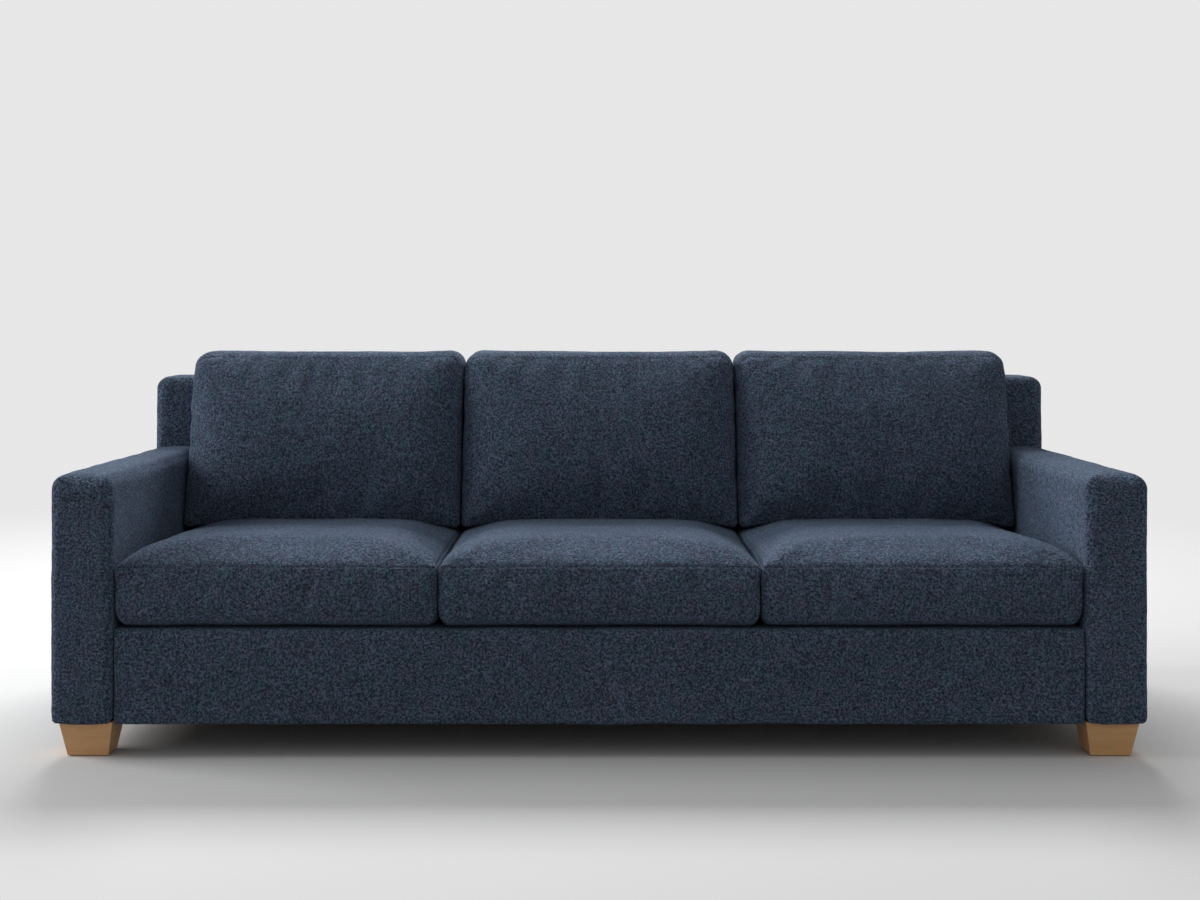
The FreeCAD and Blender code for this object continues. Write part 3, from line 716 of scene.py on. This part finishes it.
def stitches(name, piece, row, body):
    """Short lengths of thread along a row of a cover's points, half sunk into it."""
    cover = piece.evaluated_get(bpy.context.evaluated_depsgraph_get())
    normals = normals_of(cover)[row]
    path = points_of(cover)[row] + STITCH_RADIUS / 2 * normals
    path = np.vstack([path, path[:1]])
    normals = np.vstack([normals, normals[:1]])
    runs = np.linalg.norm(np.diff(path, axis=0), axis=1)
    along = np.concatenate([[0.0], np.cumsum(runs)])
    count = int(along[-1] / STITCH_PITCH)
    points = []
    faces = []

    def at(place, values):
        place = place % along[-1]
        return np.array([np.interp(place, along, values[:, axis]) for axis in range(3)])

    for number in range(count):
        middle = (number + 0.5) * along[-1] / count
        first = at(middle - STITCH_LENGTH / 2, path)
        last = at(middle + STITCH_LENGTH / 2, path)
        up = at(middle, normals)
        way = (last - first) / np.linalg.norm(last - first)
        aside = np.cross(way, up)
        aside /= np.linalg.norm(aside)
        up = np.cross(aside, way)
        base = len(points)
        for share, size in STITCH_RINGS:
            centre = (first + last) / 2 + share * STITCH_LENGTH * way
            for side in range(STITCH_SIDES):
                angle = 2 * math.pi * side / STITCH_SIDES
                out = math.cos(angle) * aside + math.sin(angle) * up
                points.append(centre + size * STITCH_RADIUS * out)
        last_start = base + (len(STITCH_RINGS) - 1) * STITCH_SIDES
        for start in range(base, last_start, STITCH_SIDES):
            above = start + STITCH_SIDES
            for side in range(STITCH_SIDES):
                after = (side + 1) % STITCH_SIDES
                faces.append((start + side, start + after, above + after, above + side))
        faces.append([base + side for side in range(STITCH_SIDES)][::-1])
        faces.append([last_start + side for side in range(STITCH_SIDES)])
    thread = new_piece(name, points, faces, THREAD)
    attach(thread, body)


def zip_chain(cushion):
    """A zip on the rear of a cushion: a tape, and two rows of coil teeth that close on each other."""
    low, high = box_of(cushion + "_cover")
    slider_low, slider_high = box_of(cushion + "_zip_slider")
    rear = slider_low[1] - ZIP_STAND
    height = slider_high[2] - SLIDER_HALF_HEIGHT
    start = slider_low[0]
    end = low[0] + high[0] - start
    points = []
    faces = []

    def prism(outline, x0, x1):
        """An outline of depths and heights, drawn out along X."""
        base = len(points)
        count = len(outline)
        for x in (x0, x1):
            points.extend((x, rear + depth, height + rise) for depth, rise in outline)
        for corner in range(count):
            after = (corner + 1) % count
            faces.append((base + corner, base + after, base + count + after, base + count + corner))
        faces.append([base + corner for corner in range(count)][::-1])
        faces.append([base + count + corner for corner in range(count)])

    for way in (-1, 1):
        edge = way * ZIP_TAPE_HALF_HEIGHT
        tape = [(0.0, 0.0), (ZIP_TAPE_THICKNESS, 0.0)]
        tape += [(ZIP_TAPE_THICKNESS, ZIP_TAPE_TAPER * edge), (0.0, edge)]
        prism(tape if way > 0 else tape[::-1], start, end)
    tape_faces = len(faces)
    base_depth = ZIP_TAPE_THICKNESS
    top_depth = base_depth + ZIP_COIL_DEPTH
    for number in range(int((end - start) / ZIP_TOOTH_PITCH)):
        way = 1 if number % 2 else -1
        far = way * ZIP_COIL_HALF_HEIGHT
        near = -ZIP_TOOTH_OVERLAP * far
        tooth = [(base_depth, near), (0.7 * top_depth, near), (top_depth, 0.6 * near + 0.4 * far),
                 (0.9 * top_depth, far), (base_depth, far)]
        x = start + number * ZIP_TOOTH_PITCH
        prism(tooth if way > 0 else tooth[::-1], x, x + ZIP_TOOTH_LENGTH)
    chain = new_piece(cushion + "_zip_chain", points, faces, ZIP_TAPE, ZIP_COIL)
    kinds = [0] * tape_faces + [1] * (len(faces) - tape_faces)
    chain.data.polygons.foreach_set("material_index", kinds)
    chain.data.polygons.foreach_set("use_smooth", [False] * len(faces))
    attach(chain, cushion + "_cushion")


def seat_space(name):
    """The lowest corner of a seat cushion and the highest corner of its boxing, at the seam."""
    low, high = box_of("seat_" + name + "_cover")
    slider_low, _ = box_of("seat_" + name + "_zip_slider")
    return low, np.array([high[0], slider_low[1] - ZIP_STAND, high[2] - SEAT_SEAM_DROP])


def seat_top(name, x, y):
    """The height of a seat cushion's crown."""
    low, high = seat_space(name)
    back_low, _ = box_of("back_" + name + "_cover")
    across = (x - (low[0] + high[0]) / 2) / ((high[0] - low[0]) / 2)
    side = np.sqrt(fullness(across, SEAT_SIDE_FULLNESS))
    front = rolled((y - low[1]) / SEAT_FRONT_ROLL)
    rear = rolled((high[1] - y) / SEAT_REAR_ROLL)
    swell = SEAT_SWELL * (1 - smooth_step(y, back_low[1] - SEAT_SWELL_RUN, back_low[1]))
    return high[2] + (SEAT_CROWN + swell) * side * front * rear


def seat_cushion(name, seed):
    low, high = seat_space(name)
    box_points, places, quads, index, ends = box_surface(low, high)
    even = np.ones(len(box_points))
    heights = box_points[:, 2]
    side = SEAT_UPRIGHT_RADIUS + (SEAT_EDGE_RADIUS - SEAT_UPRIGHT_RADIUS) * smooth_step(
        heights, high[2] - SEAT_EDGE_RUN, high[2])
    low_share = 1 - smooth_step(heights, low[2], low[2] + SEAT_EDGE_RUN)
    side += (SEAT_LOWER_RADIUS - side) * low_share
    front = side + (SEAT_LOWER_FRONT - side) * low_share
    low_reach = np.stack([side, front, SEAT_LOWER_RISE * even], 1)
    high_reach = np.stack([side, side, SEAT_EDGE_RADIUS * even], 1)
    points = rounded(box_points, low, high, low_reach, high_reach)

    middle = (low + high) / 2
    half = (high - low) / 2
    share = (box_points - middle) / half
    on_top = places[:, 2] == ends[2]
    points[on_top, 2] += seat_top(name, box_points[on_top, 0], box_points[on_top, 1]) - high[2]
    points[:, 0] -= SEAT_SIDE_DRAW * share[:, 0] * fullness(share[:, 1], 2)
    front_share = 1 - smooth_step(box_points[:, 1], low[1], middle[1])
    swell = SEAT_FRONT_SWELL * fullness(share[:, 2], 2) - SEAT_FRONT_DRAW
    points[:, 1] -= front_share * swell * fullness(share[:, 0], SEAT_FRONT_FULLNESS)

    cushion = "seat_" + name
    piece = new_piece(cushion + "_upholstery", points, quads, FABRIC)
    seam = [index[place] for place in loop_at(ends, 2, ends[2])]
    resting = (heights < low[2] + SEAT_HELD_HEIGHT) | (places[:, 1] == ends[1])
    settle(piece, np.union1d(np.flatnonzero(resting), seam), SEAT_SETTLING)
    keep_within(piece, low, high)
    sew(piece, seam, SEAT_SEAM_DEPTH, box_points, SEAT_UNEVENNESS * (places[:, 1] < ends[1]), seed)
    subdivide(piece)
    row = [index[place] for place in loop_at(ends, 2, ends[2], 1)]
    stitches(cushion + "_stitches", piece, row, cushion + "_cushion")
    zip_chain(cushion)
    dress(piece, cushion + "_cushion", SEAT_FILL, cushion + "_cover", cushion + "_core")


# Back cushions

def back_cushion(name, seed):
    low, high = box_of("back_" + name + "_cover")
    slider_low, _ = box_of("back_" + name + "_zip_slider")
    rear = slider_low[1] - ZIP_STAND
    mean_thickness = (BACK_TOP_THICKNESS + BACK_BOTTOM_THICKNESS) / 2
    low = np.array([low[0], rear - mean_thickness, low[2]])
    high = np.array([high[0], rear, high[2]])
    box_points, places, quads, index, ends = box_surface(low, high)
    even = np.ones(len(box_points))
    heights = box_points[:, 2]
    top_share = smooth_step(heights, high[2] - BACK_UPPER_RUN, high[2])
    side = BACK_UPRIGHT_RADIUS + (BACK_UPPER_RADIUS - BACK_UPRIGHT_RADIUS) * top_share
    side += (BACK_LOWER_RADIUS - side) * (1 - smooth_step(heights, low[2], low[2] + BACK_LOWER_RUN))
    front = BACK_EDGE_RADIUS + (BACK_TOP_EDGE_RADIUS - BACK_EDGE_RADIUS) * top_share
    low_reach = np.stack([side, front, BACK_LOWER_RADIUS * even], 1)
    high_reach = np.stack([side, BACK_EDGE_RADIUS * even, BACK_UPPER_RADIUS * even], 1)
    points = rounded(box_points, low, high, low_reach, high_reach)

    middle = (low + high) / 2
    half = (high - low) / 2
    share = (box_points - middle) / half
    rise_share = (points[:, 2] - low[2]) / (high[2] - low[2])
    thickness = BACK_BOTTOM_THICKNESS + (BACK_TOP_THICKNESS - BACK_BOTTOM_THICKNESS) * rise_share
    points[:, 1] = rear - (rear - points[:, 1]) * thickness / mean_thickness
    on_front = places[:, 1] == 0
    swell = fullness(share[:, 0], BACK_WIDTH_FULLNESS) * fullness(share[:, 2], BACK_HEIGHT_FULLNESS)
    points[on_front, 1] -= BACK_CROWN * swell[on_front]
    points[:, 0] -= BACK_SIDE_DRAW * share[:, 0] * fullness(share[:, 2], 2)
    points[:, 0] -= BACK_TOP_TAPER * share[:, 0] * smooth_step(heights, high[2] - BACK_TAPER_RUN, high[2])
    points[:, 2] -= BACK_TOP_DRAW * fullness(share[:, 0], 2) * smooth_step(heights, middle[2], high[2])
    below = np.maximum(seat_top(name, points[:, 0], points[:, 1]), low[2] - BACK_CORNER_DROP) - low[2]
    points[:, 2] += below * (1 - smooth_step(heights, low[2], low[2] + BACK_REST_RUN))

    cushion = "back_" + name
    piece = new_piece(cushion + "_upholstery", points, quads, FABRIC)
    seam = [index[place] for level in (0, ends[1]) for place in loop_at(ends, 1, level)]
    resting = (places[:, 2] == 0) | (places[:, 2] == ends[2]) | (places[:, 1] == ends[1])
    settle(piece, np.union1d(np.flatnonzero(resting), seam), BACK_SETTLING)
    keep_within(piece, low - np.array([0.0, 0.0, BACK_CORNER_DROP]), high)
    drawn = [point for point in seam if places[point, 2] < ends[2]]
    sew(piece, drawn, BACK_SEAM_DEPTH, box_points, BACK_UNEVENNESS * (places[:, 1] < ends[1]), seed)
    subdivide(piece)
    row = [index[place] for place in loop_at(ends, 1, 0, 1)]
    stitches(cushion + "_stitches", piece, row, cushion + "_cushion")
    zip_chain(cushion)
    dress(piece, cushion + "_cushion", BACK_FILL, cushion + "_cover", cushion + "_core")


for number, seat_name in enumerate(SEAT_NAMES):
    seat_cushion(seat_name, 100 + 10 * number)
    back_cushion(seat_name, 200 + 10 * number)


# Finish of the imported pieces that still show

for subpart in frame["record"]["subparts"]:
    packed = frame["nodes"][subpart["node"]]
    packed.data.materials.clear()
    packed.data.materials.append(SLOT_MATERIALS[subpart["material_slot"]])
    if subpart["material_slot"] == "foot_timber":
        joined = packed.modifiers.new("joined_edges", "WELD")
        joined.merge_threshold = FOOT_WELD
        eased = packed.modifiers.new("eased_edges", "BEVEL")
        eased.width = FOOT_EDGE_RADIUS
        eased.segments = FOOT_EDGE_SEGMENTS
        eased.limit_method = "ANGLE"


# Stage, lights and camera

def direct_sight(tree):
    """1 for rays that show a thing straight, mirrored or through glass, and 0 for others."""
    rays = node(tree, "ShaderNodeLightPath")
    seen = math_node(tree, "MAXIMUM", rays.outputs["Is Camera Ray"], rays.outputs["Is Glossy Ray"])
    return math_node(tree, "MAXIMUM", seen, rays.outputs["Is Transmission Ray"])


def floor():
    material, tree, shader = new_material("pale_floor")
    seen = direct_sight(tree)
    tree.links.new(mixed(tree, seen, FLOOR_BOUNCE, FLOOR_SEEN), shader.inputs["Base Color"])
    set_shader(shader, {"Roughness": 0.9, "Specular IOR Level": 0.1})
    place = node(tree, "ShaderNodeNewGeometry").outputs["Position"]
    away = node(tree, "ShaderNodeVectorMath", {0: place}, operation="LENGTH").outputs["Value"]
    far = math_node(tree, "MULTIPLY", seen, mapped(tree, away, FLOOR_FADE_START, FLOOR_FADE_END))
    glow = node(tree, "ShaderNodeEmission", {"Color": (BACKDROP,) * 3 + (1.0,)})
    blend = node(tree, "ShaderNodeMixShader", {0: far, 1: shader.outputs[0], 2: glow.outputs[0]})
    tree.links.new(blend.outputs[0], tree.nodes["Material Output"].inputs["Surface"])
    half = FLOOR_HALF
    corners = [(-half, -half, 0.0), (half, -half, 0.0), (half, half, 0.0), (-half, half, 0.0)]
    plane = new_piece("floor", corners, [(0, 1, 2, 3)], material)


def soft_light(name, place, size, power):
    light = bpy.data.lights.new(name, "AREA")
    light.shape = "RECTANGLE"
    light.size, light.size_y = size
    light.energy = power
    lamp = bpy.data.objects.new(name, light)
    lamp.location = place
    way = Vector(place) - Vector(LIGHT_TARGET)
    lamp.rotation_euler = way.to_track_quat("Z", "Y").to_euler()
    bpy.context.scene.collection.objects.link(lamp)


def world():
    made = bpy.data.worlds.new("studio")
    bpy.context.scene.world = made
    made.use_nodes = True
    tree = made.node_tree
    background = tree.nodes["Background"]
    tree.links.new(mapped(tree, direct_sight(tree), 0.0, 1.0, AMBIENT, BACKDROP),
                   background.inputs["Strength"])
    background.inputs["Color"].default_value = (1.0, 1.0, 1.0, 1.0)


def camera():
    arm_low, _ = box_of("left_arm_cover")
    data = bpy.data.cameras.new("camera")
    data.lens = CAMERA_LENS
    data.sensor_width = CAMERA_SENSOR
    data.shift_x = CAMERA_SHIFT_X
    data.shift_y = CAMERA_SHIFT_Y
    data.clip_end = CAMERA_CLIP
    made = bpy.data.objects.new("camera", data)
    made.location = (0.0, arm_low[1] - CAMERA_DISTANCE, CAMERA_HEIGHT)
    made.rotation_euler = (math.pi / 2, 0.0, 0.0)
    bpy.context.scene.collection.objects.link(made)
    bpy.context.scene.camera = made


floor()
world()
soft_light("rear_light", place=(-0.2, 4.0, 4.6), size=(5.0, 2.0), power=415.0)
soft_light("left_light", place=(-6.5, 0.0, 3.3), size=(3.0, 3.0), power=315.0)
camera()
bpy.context.scene.view_settings.view_transform = "Standard"
